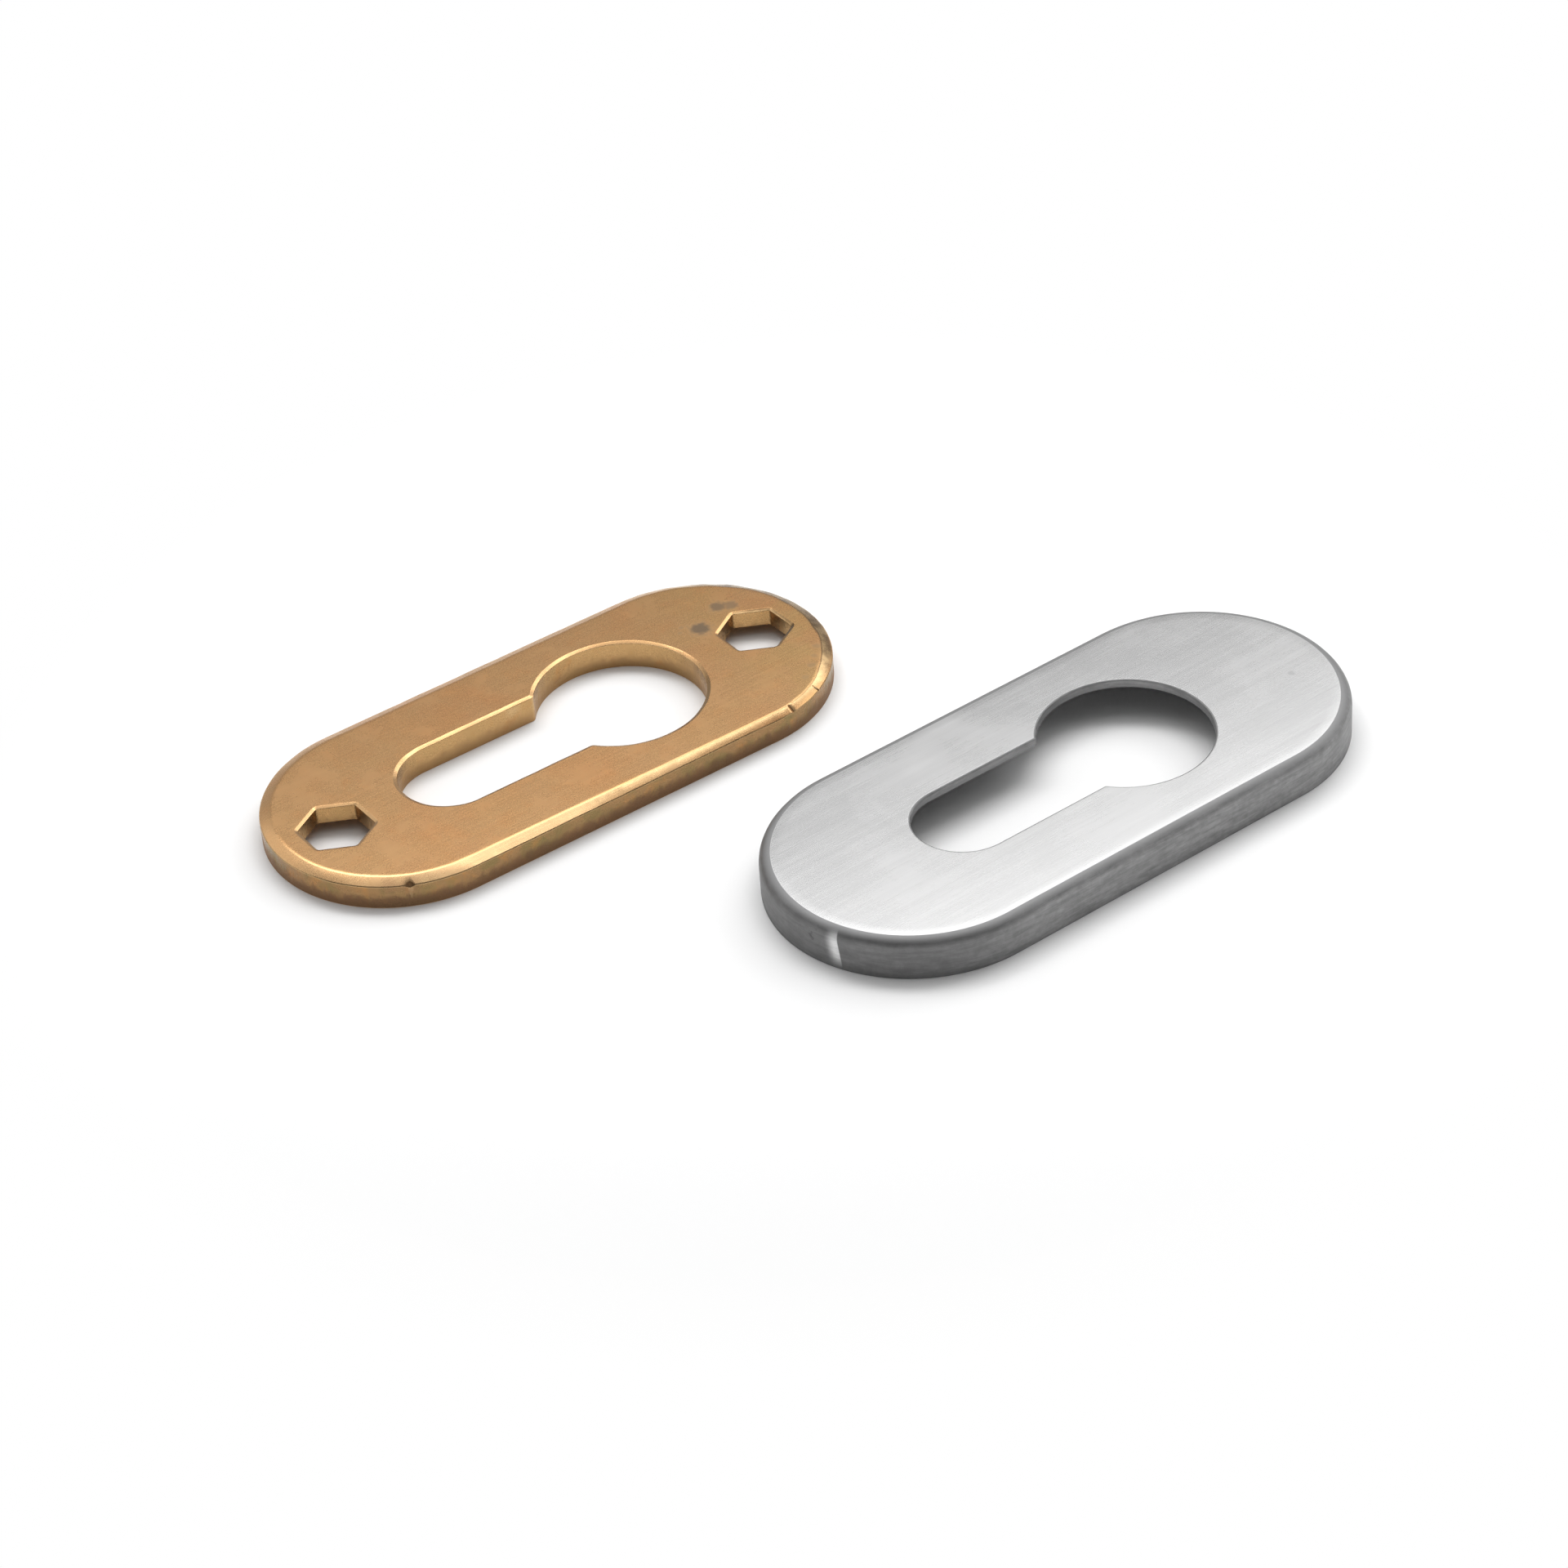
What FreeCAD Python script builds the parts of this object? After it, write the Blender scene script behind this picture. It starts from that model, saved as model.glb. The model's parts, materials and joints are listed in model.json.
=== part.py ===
"""Keyhole escutcheon for a profile lock cylinder, its two pieces laid side by side.

fixing_plate  brass plate, held to the door through two hexagonal holes
cover         drawn steel shell, pushed over the plate once that is fixed

Millimetres, +Z up.  Both pieces lie on z = 0 with their long axes along X, and the round
end of each keyhole is towards +X.  The origin is the middle of the pair's base.
"""
import FreeCAD, Part
import os
from math import pi
import Sketcher
from FreeCAD import Vector

# Driving sizes: name, value, what it is.  Lengths are in millimetres, turns in degrees.
SIZES = [
    ("plate_width", 27.6, "fixing plate, side to side; its ends are half circles"),
    ("plate_thickness", 3.0, "fixing plate, base to face"),
    ("bevel_width", 1.2, "bevel round the plate's face, measured across the face"),
    ("bevel_drop", 0.4, "the same bevel, measured down the side"),
    ("hole_land", 7.975, "keyhole's end to the centre of the hexagonal hole beyond it"),
    ("end_land", 6.5, "centre of a hexagonal hole to the plate's end"),
    ("hole_flats", 6.6, "hexagonal hole across flats; two flats face the plate's ends"),
    ("hole_bevel", 0.3, "bevel at the mouth of each hexagonal hole"),
    ("recess_diameter", 10.4, "round recess under each hexagonal hole"),
    ("recess_depth", 1.1, "the same recess, up from the base"),
    ("nick_width", 1.4, "dent in the plate's bevelled edge"),
    ("nick_turn", 241.5, "place of the dent round the plate's foot end"),
    ("cylinder_round", 17.0, "lock cylinder, diameter of its round part"),
    ("cylinder_flag", 10.0, "lock cylinder, width of its narrow part"),
    ("cylinder_height", 33.0, "lock cylinder, top of the round part to the foot"),
    ("round_gap", 0.25, "air round the cylinder's round part"),
    ("foot_gap", 1.0, "air beyond the cylinder's foot"),
    ("plate_flag_gap", 0.3, "air each side of the narrow part, in the plate"),
    ("cover_flag_gap", 0.15, "air each side of the narrow part, in the cover"),
    ("plate_keyhole_bevel", 0.35, "bevel round the plate's keyhole"),
    ("sheet", 0.9, "thickness of the cover's steel"),
    ("end_gap", 0.4, "air between plate and cover at each end"),
    ("side_gap", 0.2, "air between plate and cover at each side"),
    ("face_gap", 0.4, "air between the plate's face and the cover"),
    ("bend_radius", 0.3, "inside radius of the bend round the cover's face"),
    ("cover_keyhole_edge", 0.2, "rounding of the keyhole's edge in the cover"),
    ("lay_shift", 31.6, "cover further along X than the plate, middle to middle"),
    ("lay_gap", 11.7, "clear strip between the two pieces"),
    ("plate_turn", -1.3, "plate turned from the cover's direction, about +Z"),
]

doc = FreeCAD.newDocument("keyhole_escutcheon")
sheet = doc.addObject("Spreadsheet::Sheet", "Sizes")
for row, (alias, value, meaning) in enumerate(SIZES, start=1):
    sheet.set(f"A{row}", alias)
    sheet.set(f"B{row}", str(value))
    sheet.setAlias(f"B{row}", alias)
    sheet.set(f"C{row}", meaning)
doc.recompute()

# What the pieces share, worked out from the sizes.  The keyhole is in the middle of each piece.
KEYHOLE_LENGTH = "(Sizes.cylinder_height + Sizes.round_gap + Sizes.foot_gap)"
ROUND_RADIUS = "(Sizes.cylinder_round / 2 + Sizes.round_gap)"
ROUND_X = f"({KEYHOLE_LENGTH} / 2 - {ROUND_RADIUS})"
HOLE_X = f"({KEYHOLE_LENGTH} / 2 + Sizes.hole_land)"
PLATE_LENGTH = f"(2 * ({HOLE_X} + Sizes.end_land))"
ROOM_LENGTH = f"({PLATE_LENGTH} + 2 * Sizes.end_gap)"
ROOM_WIDTH = "(Sizes.plate_width + 2 * Sizes.side_gap)"
COVER_LENGTH = f"({ROOM_LENGTH} + 2 * Sizes.sheet)"
COVER_WIDTH = f"({ROOM_WIDTH} + 2 * Sizes.sheet)"
ROOM_HEIGHT = "(Sizes.plate_thickness + Sizes.face_gap)"
COVER_HEIGHT = f"({ROOM_HEIGHT} + Sizes.sheet)"

# How the turned plate and the straight cover share the floor, centred on the origin.
PLATE_REACH = f"(({PLATE_LENGTH} - Sizes.plate_width) / 2)"
PLATE_HALF_X = f"({PLATE_REACH} * cos(Sizes.plate_turn) + Sizes.plate_width / 2)"
PLATE_HALF_Y = f"({PLATE_REACH} * abs(sin(Sizes.plate_turn)) + Sizes.plate_width / 2)"
LAID_X = f"({PLATE_HALF_X} + Sizes.lay_shift + {COVER_LENGTH} / 2)"
LAID_Y = f"(2 * {PLATE_HALF_Y} + Sizes.lay_gap + {COVER_WIDTH})"


def size(expression):
    """The value of an expression of the sizes, as a plain number."""
    found = sheet.evalExpression(expression)
    return float(getattr(found, "Value", found))


def make_body(label, place):
    """A body named after its piece, laid on the floor by expressions for x, y and turn."""
    body = doc.addObject("PartDesign::Body", label)
    body.Label = label
    for target, expression in zip(("Base.x", "Base.y", "Rotation.Angle"), place):
        body.setExpression(f"Placement.{target}", expression)
    return body


def plane(body, role):
    """One of the body's own base planes."""
    return next(part for part in body.Origin.OriginFeatures if part.Role == role)


def floor_sketch(body, name):
    """An empty sketch on the plane that the piece lies on."""
    sketch = body.newObject("Sketcher::SketchObject", name)
    sketch.AttachmentSupport = [(plane(body, "XY_Plane"), "")]
    sketch.MapMode = "FlatFace"
    return sketch


def arc(middle_x, radius, start, end):
    """An arc about a place on the X axis, between two angles in radians."""
    circle = Part.Circle(Vector(middle_x, 0, 0), Vector(0, 0, 1), radius)
    return Part.ArcOfCircle(circle, start, end)


def line(start_x, start_y, end_x, end_y):
    return Part.LineSegment(Vector(start_x, start_y, 0), Vector(end_x, end_y, 0))


def tie(sketch, kind, *picks):
    """A constraint without a size."""
    sketch.addConstraint(Sketcher.Constraint(kind, *picks))


def measure(sketch, name, expression, kind, *picks):
    """A constraint whose size follows an expression."""
    index = sketch.addConstraint(Sketcher.Constraint(kind, *picks, size(expression)))
    sketch.renameConstraint(index, name)
    sketch.setExpression(f"Constraints.{name}", expression)


def stadium_sketch(body, name, length, width):
    """A long outline with half-round ends, its middle at the body's origin."""
    sketch = floor_sketch(body, name)
    radius = size(width) / 2
    reach = size(length) / 2 - radius
    sketch.addGeometry([
        arc(reach, radius, -pi / 2, pi / 2),
        line(reach, radius, -reach, radius),
        arc(-reach, radius, pi / 2, 3 * pi / 2),
        line(-reach, -radius, reach, -radius),
    ])
    for this, following in ((0, 1), (1, 2), (2, 3), (3, 0)):
        tie(sketch, "Tangent", this, 2, following, 1)
    tie(sketch, "Equal", 0, 2)
    tie(sketch, "Symmetric", 0, 3, 2, 3, -1, 1)
    tie(sketch, "PointOnObject", 0, 3, -1)
    measure(sketch, "end_radius", f"{width} / 2", "Radius", 0)
    measure(sketch, "straight", f"{length} - {width}", "DistanceX", 2, 3, 0, 3)
    return sketch


def keyhole_sketch(body, name, flag_gap):
    """The cylinder's profile with its gaps: a round part and a slot with a round foot."""
    sketch = floor_sketch(body, name)
    half_slot = f"(Sizes.cylinder_flag / 2 + {flag_gap})"
    foot_middle = f"({half_slot} - {KEYHOLE_LENGTH} / 2)"
    middle, radius = size(ROUND_X), size(ROUND_RADIUS)
    foot, half = size(foot_middle), size(half_slot)
    corner = (radius ** 2 - half ** 2) ** 0.5
    opening = Vector(-corner, half, 0).getAngle(Vector(1, 0, 0))
    sketch.addGeometry([
        arc(middle, radius, -opening, opening),
        line(middle - corner, half, foot, half),
        arc(foot, half, pi / 2, 3 * pi / 2),
        line(foot, -half, middle - corner, -half),
    ])
    tie(sketch, "Coincident", 0, 2, 1, 1)
    tie(sketch, "Tangent", 1, 2, 2, 1)
    tie(sketch, "Tangent", 2, 2, 3, 1)
    tie(sketch, "Coincident", 3, 2, 0, 1)
    tie(sketch, "Horizontal", 1)
    tie(sketch, "Horizontal", 3)
    tie(sketch, "PointOnObject", 0, 3, -1)
    tie(sketch, "PointOnObject", 2, 3, -1)
    measure(sketch, "round_radius", ROUND_RADIUS, "Radius", 0)
    measure(sketch, "foot_radius", half_slot, "Radius", 2)
    measure(sketch, "round_place", ROUND_X, "DistanceX", -1, 1, 0, 3)
    measure(sketch, "round_to_foot", f"{ROUND_X} - {foot_middle}", "DistanceX", 2, 3, 0, 3)
    return sketch


def hexagon_sketch(body, name, middle_x, flats):
    """A hexagon on the X axis with two of its sides square to that axis."""
    sketch = floor_sketch(body, name)
    middle, corner = size(middle_x), size(flats) / 3 ** 0.5
    points = [Vector(middle, 0, 0) + turned(corner, pi / 6 + turn * pi / 3) for turn in range(6)]
    for turn in range(6):
        sketch.addGeometry(Part.LineSegment(points[turn], points[(turn + 1) % 6]))
    circle = sketch.addGeometry(Part.Circle(Vector(middle, 0, 0), Vector(0, 0, 1), corner), True)
    for turn in range(6):
        tie(sketch, "Coincident", turn, 2, (turn + 1) % 6, 1)
        tie(sketch, "PointOnObject", turn, 1, circle)
    for turn in range(1, 6):
        tie(sketch, "Equal", 0, turn)
    tie(sketch, "Vertical", 5)
    tie(sketch, "PointOnObject", circle, 3, -1)
    measure(sketch, "corner_radius", f"{flats} / sqrt(3)", "Radius", circle)
    measure(sketch, "place", middle_x, "DistanceX", -1, 1, circle, 3)
    return sketch


def disc_sketch(body, name, middle_x, diameter):
    """A circle on the X axis."""
    sketch = floor_sketch(body, name)
    circle = Part.Circle(Vector(size(middle_x), 0, 0), Vector(0, 0, 1), size(diameter) / 2)
    index = sketch.addGeometry(circle)
    tie(sketch, "PointOnObject", index, 3, -1)
    measure(sketch, "radius", f"{diameter} / 2", "Radius", index)
    measure(sketch, "place", middle_x, "DistanceX", -1, 1, index, 3)
    return sketch


def turned(radius, angle):
    """A vector of this length at this angle from +X."""
    return FreeCAD.Rotation(Vector(0, 0, 1), Radian=angle).multVec(Vector(radius, 0, 0))


def raise_pad(body, name, sketch, height):
    pad = body.newObject("PartDesign::Pad", name)
    pad.Profile = sketch
    pad.setExpression("Length", height)
    doc.recompute()
    return pad


def cut_up(body, name, sketch, height):
    """Cuts the sketch's outline upwards from the floor, and makes sure that it removes metal."""
    before = body.Shape.Volume
    pocket = body.newObject("PartDesign::Pocket", name)
    pocket.Profile = sketch
    pocket.Reversed = True
    pocket.setExpression("Length", height)
    doc.recompute()
    if not body.Shape.Volume < before:
        raise RuntimeError(f"{name} cuts nothing")
    return pocket


def halfway(edge):
    return edge.valueAt((edge.FirstParameter + edge.LastParameter) / 2)


def fresh_edges(shape, level, earlier=None):
    """Names of the flat edges at one height that an earlier shape doesn't have."""
    near = 1e-4
    known = [halfway(edge) for edge in earlier.Edges] if earlier else []
    names = []
    for number, edge in enumerate(shape.Edges, start=1):
        heights = [point.z for point in edge.discretize(3)]
        is_flat = max(abs(height - level) for height in heights) < near
        is_new = all(halfway(edge).distanceToPoint(point) > near for point in known)
        if is_flat and is_new:
            names.append(f"Edge{number}")
    return names


def dress(body, kind, name, base, edges, **sizes):
    """A fillet or chamfer on the named edges, its sizes bound to expressions."""
    feature = body.newObject(f"PartDesign::{kind}", name)
    feature.Base = (base, edges)
    if len(sizes) == 2:
        feature.ChamferType = "Two distances"
    for target, expression in sizes.items():
        feature.setExpression(target, expression)
    doc.recompute()
    return feature


# Brass fixing plate: a bevelled slab with the keyhole, and a hexagonal hole near each end.
plate = make_body("fixing_plate", (
    f"{PLATE_HALF_X} - {LAID_X} / 2",
    f"{LAID_Y} / 2 - {PLATE_HALF_Y}",
    "Sizes.plate_turn",
))
face_level = size("Sizes.plate_thickness")
outline = stadium_sketch(plate, "PlateOutline", PLATE_LENGTH, "Sizes.plate_width")
slab = raise_pad(plate, "Slab", outline, "Sizes.plate_thickness")
bevelled = dress(plate, "Chamfer", "FaceBevel", slab, fresh_edges(slab.Shape, face_level),
                 Size="Sizes.bevel_drop", Size2="Sizes.bevel_width")
plate_profile = keyhole_sketch(plate, "PlateKeyholeOutline", "Sizes.plate_flag_gap")
plate_keyhole = cut_up(plate, "PlateKeyhole", plate_profile, "Sizes.plate_thickness")
eased = dress(plate, "Chamfer", "PlateKeyholeBevel", plate_keyhole,
              fresh_edges(plate_keyhole.Shape, face_level, bevelled.Shape),
              Size="Sizes.plate_keyhole_bevel")

hexagon = hexagon_sketch(plate, "HoleOutline", HOLE_X, "Sizes.hole_flats")
hole = cut_up(plate, "ScrewHole", hexagon, "Sizes.plate_thickness")
disc = disc_sketch(plate, "RecessOutline", HOLE_X, "Sizes.recess_diameter")
recess = cut_up(plate, "Recess", disc, "Sizes.recess_depth")
both_ends = plate.newObject("PartDesign::Mirrored", "BothEnds")
both_ends.Originals = [hole, recess]
both_ends.MirrorPlane = (plane(plate, "YZ_Plane"), [""])
plate.Tip = both_ends
doc.recompute()
mouths = dress(plate, "Chamfer", "HoleBevels", both_ends,
               fresh_edges(both_ends.Shape, face_level, eased.Shape), Size="Sizes.hole_bevel")

# The dent is a ball's mark, its centre on the bevel's lower edge at the plate's foot end.
nick = plate.newObject("PartDesign::SubtractiveSphere", "Nick")
nick.AttachmentSupport = [(plane(plate, "XY_Plane"), "")]
nick.MapMode = "FlatFace"
nick.setExpression("Radius", "Sizes.nick_width / 2")
nick.setExpression("AttachmentOffset.Base.x",
                   f"Sizes.plate_width / 2 * cos(Sizes.nick_turn) - {PLATE_REACH}")
nick.setExpression("AttachmentOffset.Base.y", "Sizes.plate_width / 2 * sin(Sizes.nick_turn)")
nick.setExpression("AttachmentOffset.Base.z", "Sizes.plate_thickness - Sizes.bevel_drop")
doc.recompute()

# Steel cover: a shallow drawn box, open below, with the punched keyhole in its face.
cover = make_body("cover", (
    f"{LAID_X} / 2 - {COVER_LENGTH} / 2",
    f"{COVER_WIDTH} / 2 - {LAID_Y} / 2",
    "0",
))
top_level, room_level = size(COVER_HEIGHT), size(ROOM_HEIGHT)
outside = stadium_sketch(cover, "CoverOutline", COVER_LENGTH, COVER_WIDTH)
blank = raise_pad(cover, "Blank", outside, COVER_HEIGHT)
rounded = dress(cover, "Fillet", "OuterBend", blank, fresh_edges(blank.Shape, top_level),
                Radius="Sizes.bend_radius + Sizes.sheet")
inside = stadium_sketch(cover, "RoomOutline", ROOM_LENGTH, ROOM_WIDTH)
room = cut_up(cover, "Room", inside, ROOM_HEIGHT)
shell = dress(cover, "Fillet", "InnerBend", room,
              fresh_edges(room.Shape, room_level, rounded.Shape), Radius="Sizes.bend_radius")
cover_profile = keyhole_sketch(cover, "CoverKeyholeOutline", "Sizes.cover_flag_gap")
cover_keyhole = cut_up(cover, "CoverKeyhole", cover_profile, COVER_HEIGHT)
dress(cover, "Fillet", "CoverKeyholeEdge", cover_keyhole,
      fresh_edges(cover_keyhole.Shape, top_level, shell.Shape), Radius="Sizes.cover_keyhole_edge")

# Nothing is written unless every feature stands and each piece is one sound solid.
for item in doc.Objects:
    if "Invalid" in item.State or "Error" in item.State:
        raise RuntimeError(f"{item.Name} failed: {item.State}")
for body in (plate, cover):
    shape = body.Shape
    if shape.isNull() or not shape.isValid() or len(shape.Solids) != 1:
        raise RuntimeError(f"{body.Label} is not one sound solid")

os.makedirs("parts", exist_ok=True)
for body in (plate, cover):
    body.Shape.exportStep(f"parts/{body.Label}.step")
    box = body.Shape.optimalBoundingBox(False)
    print(f"{body.Label}: {body.Shape.Volume:.1f} mm3,",
          f"x {box.XMin:.3f} to {box.XMax:.3f}, y {box.YMin:.3f} to {box.YMax:.3f},",
          f"z {box.ZMin:.3f} to {box.ZMax:.3f}")
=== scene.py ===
# %% [markdown]
# # A keyhole escutcheon: brass fixing plate and brushed steel cover
#
# An escutcheon tidies the hole round a door's lock cylinder.  This one has two pieces.  The
# brass plate is fixed to the door through its two hexagonal holes, and the steel cover is then
# pushed over it, so that no screw shows.  Here the cover is off and lies beside the plate.
#
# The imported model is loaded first.  It fixes where each piece lies and how large it is, so
# every size below is either read from it or is a small named value of a finish.

import json
from math import atan2, cos, degrees, pi, radians, sin

import bmesh
import bpy
from mathutils import Matrix, Vector


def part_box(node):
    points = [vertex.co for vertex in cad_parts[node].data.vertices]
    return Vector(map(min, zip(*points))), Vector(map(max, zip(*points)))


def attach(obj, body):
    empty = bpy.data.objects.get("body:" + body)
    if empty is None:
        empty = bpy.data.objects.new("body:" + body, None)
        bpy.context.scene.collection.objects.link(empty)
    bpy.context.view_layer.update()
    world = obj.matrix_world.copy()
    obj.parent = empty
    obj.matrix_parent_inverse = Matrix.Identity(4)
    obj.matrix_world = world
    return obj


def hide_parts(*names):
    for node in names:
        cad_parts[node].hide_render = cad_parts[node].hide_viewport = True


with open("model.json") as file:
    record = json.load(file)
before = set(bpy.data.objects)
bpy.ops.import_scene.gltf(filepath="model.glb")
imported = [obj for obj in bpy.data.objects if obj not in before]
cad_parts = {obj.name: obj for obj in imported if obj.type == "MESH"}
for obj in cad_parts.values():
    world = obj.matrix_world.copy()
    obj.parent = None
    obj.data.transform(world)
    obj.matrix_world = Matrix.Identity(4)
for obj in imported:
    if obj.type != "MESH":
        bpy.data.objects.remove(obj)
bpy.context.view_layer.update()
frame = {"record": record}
mounts = {mount["name"]: mount for mount in frame["record"]["mounts"]}
MM = 0.001

# %% [markdown]
# ## Read the sizes
#
# The record's mounts give the middle and radius of each keyhole's round part, and the recess
# under each hexagonal hole.  The line through the two recesses is the plate's long axis, which
# also gives the small turn at which the plate lies.  The cover lies straight along X.


# %% Sizes of the two pieces
def spot(name):
    """A mount's place in the plan, in metres."""
    return Vector(mounts[name]["pos_m"][:2])


def bore(name):
    """A round mount's radius in metres."""
    return mounts[name]["dims"]["r_mm"] * MM


head, foot = spot("head_recess"), spot("foot_recess")
plate_middle = (head + foot) / 2
plate_turn = atan2((head - foot).y, (head - foot).x)
hole_spacing = (head - foot).length

low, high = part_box("fixing_plate")
half_x, half_y = (high.x - low.x) / 2, (high.y - low.y) / 2
plate_reach = (half_x - half_y) / (cos(plate_turn) - abs(sin(plate_turn)))
plate_end = half_x - plate_reach * cos(plate_turn)
plate_height = high.z

low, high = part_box("cover")
cover_middle = Vector(((low.x + high.x) / 2, (low.y + high.y) / 2))
cover_end = (high.y - low.y) / 2
cover_reach = (high.x - low.x) / 2 - cover_end
cover_height = high.z
print(f"plate turned {degrees(plate_turn):.2f} degrees, end radius {plate_end / MM:.2f} mm,",
      f"holes {hole_spacing / MM:.2f} mm apart; cover's end radius {cover_end / MM:.2f} mm")

# %% [markdown]
# ## Building node trees
#
# Both pieces follow one rule: a section is carried round an outline, and flat faces close what
# lies between.  Geometry Nodes suit that well, because the outlines stay curves until the last
# step and each size stays an input.  A few small helpers keep the trees short.


# %% Helpers for node trees
def feed(tree, socket, value):
    """Links a socket to another one or to a node's first output, or sets its value."""
    if isinstance(value, bpy.types.Node):
        value = value.outputs[0]
    if isinstance(value, bpy.types.NodeSocket):
        tree.links.new(value, socket)
    else:
        socket.default_value = value


def add(tree, kind, inputs=None, **options):
    """A new node with its options set and its inputs filled or linked."""
    made = tree.nodes.new(kind)
    for name, value in options.items():
        setattr(made, name, value)
    for key, value in (inputs or {}).items():
        feed(tree, made.inputs[key], value)
    return made


def calc(tree, operation, *values):
    """A Math node."""
    return add(tree, "ShaderNodeMath", dict(enumerate(values)), operation=operation)


def times(tree, first, second):
    """The product of two numbers."""
    return calc(tree, "MULTIPLY", first, second)


def times_plus(tree, value, factor, start):
    """A number times a factor, added to a start."""
    return calc(tree, "MULTIPLY_ADD", value, factor, start)


def minus(tree, value):
    """The number with its sign turned."""
    return times(tree, value, -1.0)


def calc_vector(tree, operation, *values):
    """What a Vector Math node gives: a number for a length or a dot product, else a vector."""
    keys = (0, "Scale") if operation == "SCALE" else (0, 1)
    made = add(tree, "ShaderNodeVectorMath", dict(zip(keys, values)), operation=operation)
    return made.outputs["Value" if operation in ("LENGTH", "DOT_PRODUCT") else "Vector"]


def xyz(tree, x=0.0, y=0.0, z=0.0):
    """A vector from its three parts."""
    return add(tree, "ShaderNodeCombineXYZ", {"X": x, "Y": y, "Z": z})


def axis(tree, vector, name):
    """The X, Y or Z of a vector."""
    return add(tree, "ShaderNodeSeparateXYZ", {0: vector}).outputs[name]


def from_to(tree, value, start, end, low=0.0, high=1.0):
    """Maps start and end to low and high, with a soft change between them."""
    return add(tree, "ShaderNodeMapRange", {
        "Value": value, "From Min": start, "From Max": end, "To Min": low, "To Max": high},
        interpolation_type="SMOOTHSTEP")


def join(tree, parts):
    """The parts as one geometry."""
    joined = tree.nodes.new("GeometryNodeJoinGeometry")
    for part in parts:
        feed(tree, joined.inputs[0], part)
    return joined


def shifted(tree, geometry, offset):
    """The geometry with its points moved by an offset."""
    return add(tree, "GeometryNodeSetPosition", {"Geometry": geometry, "Offset": offset})


def new_object(name, data):
    """An object with this data, in the scene."""
    made = bpy.data.objects.new(name, data)
    bpy.context.scene.collection.objects.link(made)
    return made


SOCKET_TYPES = {float: "Float", int: "Int", tuple: "Vector"}
# How many points a rounding gets, and how near two points are that are taken as one.
ROUNDING_POINTS = 6
SAME_PLACE = 0.002 * MM


def new_tree(name, kind, inputs, output):
    """An empty node tree with one named output.  Each input has a first value, or only a type."""
    tree = bpy.data.node_groups.new(name, kind)
    for label, value in inputs.items():
        only_type = isinstance(value, str)
        socket_type = "NodeSocket" + (value if only_type else SOCKET_TYPES[type(value)])
        made = tree.interface.new_socket(label, in_out="INPUT", socket_type=socket_type)
        if not only_type:
            made.default_value = value
    label, socket_type = output
    tree.interface.new_socket(label, in_out="OUTPUT", socket_type="NodeSocket" + socket_type)
    given, result = tree.nodes.new("NodeGroupInput"), tree.nodes.new("NodeGroupOutput")
    return tree, given.outputs, result.inputs[0]


# %% [markdown]
# ## The outlines
#
# The edge of each piece and both keyholes are the same kind of loop: an arc at the head, a half
# circle at the foot, and two straight lines between them.  Where the two radii are equal this is
# the long shape with round ends, and where the head is larger it is a keyhole, with two corners
# that get a small rounding.  One group makes them all.


# %% The loop with two arcs
def make_loop_group():
    tree, given, result = new_tree("two_arc_loop", "GeometryNodeTree", {
        "Head Radius": 0.01, "Foot Radius": 0.01, "Head Place": 0.01, "Foot Place": -0.01,
        "Corner Radius": 0.0, "Arc Points": 97, "Straight Cuts": 60,
    }, ("Curve", "Geometry"))
    opening = calc(tree, "SUBTRACT", pi, calc(tree, "ARCSINE", calc(
        tree, "DIVIDE", given["Foot Radius"], given["Head Radius"])))
    ends = []
    for radius, place, start, sweep in (
        (given["Head Radius"], given["Head Place"], minus(tree, opening), times(tree, opening, 2.0)),
        (given["Foot Radius"], given["Foot Place"], pi / 2, pi),
    ):
        arc = add(tree, "GeometryNodeCurveArc", {
            "Resolution": given["Arc Points"], "Radius": radius,
            "Start Angle": start, "Sweep Angle": sweep}, mode="RADIUS")
        moved = add(tree, "GeometryNodeTransform", {
            "Geometry": arc, "Translation": xyz(tree, place)})
        ends.append(add(tree, "GeometryNodeCurveToPoints", {"Curve": moved}, mode="EVALUATED"))
    chain = add(tree, "GeometryNodePointsToCurves", {"Points": join(tree, reversed(ends))})
    closed = add(tree, "GeometryNodeSetSplineCyclic", {"Geometry": chain, "Cyclic": True})

    # The straight lines start at the last point of each arc, and get points along them too.
    index = tree.nodes.new("GeometryNodeInputIndex")
    turn = calc(tree, "MODULO", calc(tree, "ADD", index, 1.0), given["Arc Points"])
    is_last = calc(tree, "LESS_THAN", turn, 0.5)
    cuts = times(tree, is_last, given["Straight Cuts"])
    divided = add(tree, "GeometryNodeSubdivideCurve", {"Curve": closed, "Cuts": cuts})

    # The corners are the two ends of the head's arc.
    at_start = calc(tree, "COMPARE", index, 0.0, 0.5)
    at_end = calc(tree, "COMPARE", index, calc(tree, "SUBTRACT", given["Arc Points"], 1.0), 0.5)
    radius = times(tree, calc(tree, "ADD", at_start, at_end), given["Corner Radius"])
    eased = add(tree, "GeometryNodeFilletCurve", {
        "Curve": divided, "Count": ROUNDING_POINTS, "Radius": radius}, mode="POLY")
    feed(tree, result, add(tree, "GeometryNodeSetCurveNormal", {"Curve": eased}, mode="Z_UP"))
    return tree


loop_group = make_loop_group()


# %% A ring beside a loop
def make_ring_group():
    """Moves each point of a loop outwards in its plane."""
    tree, given, result = new_tree("ring_beside_loop", "GeometryNodeTree", {
        "Curve": "Geometry", "Outwards": 0.0}, ("Curve", "Geometry"))
    normal = tree.nodes.new("GeometryNodeInputNormal")
    shift = calc_vector(tree, "SCALE", normal, given["Outwards"])
    feed(tree, result, shifted(tree, given["Curve"], shift))
    return tree


ring_group = make_ring_group()

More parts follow.
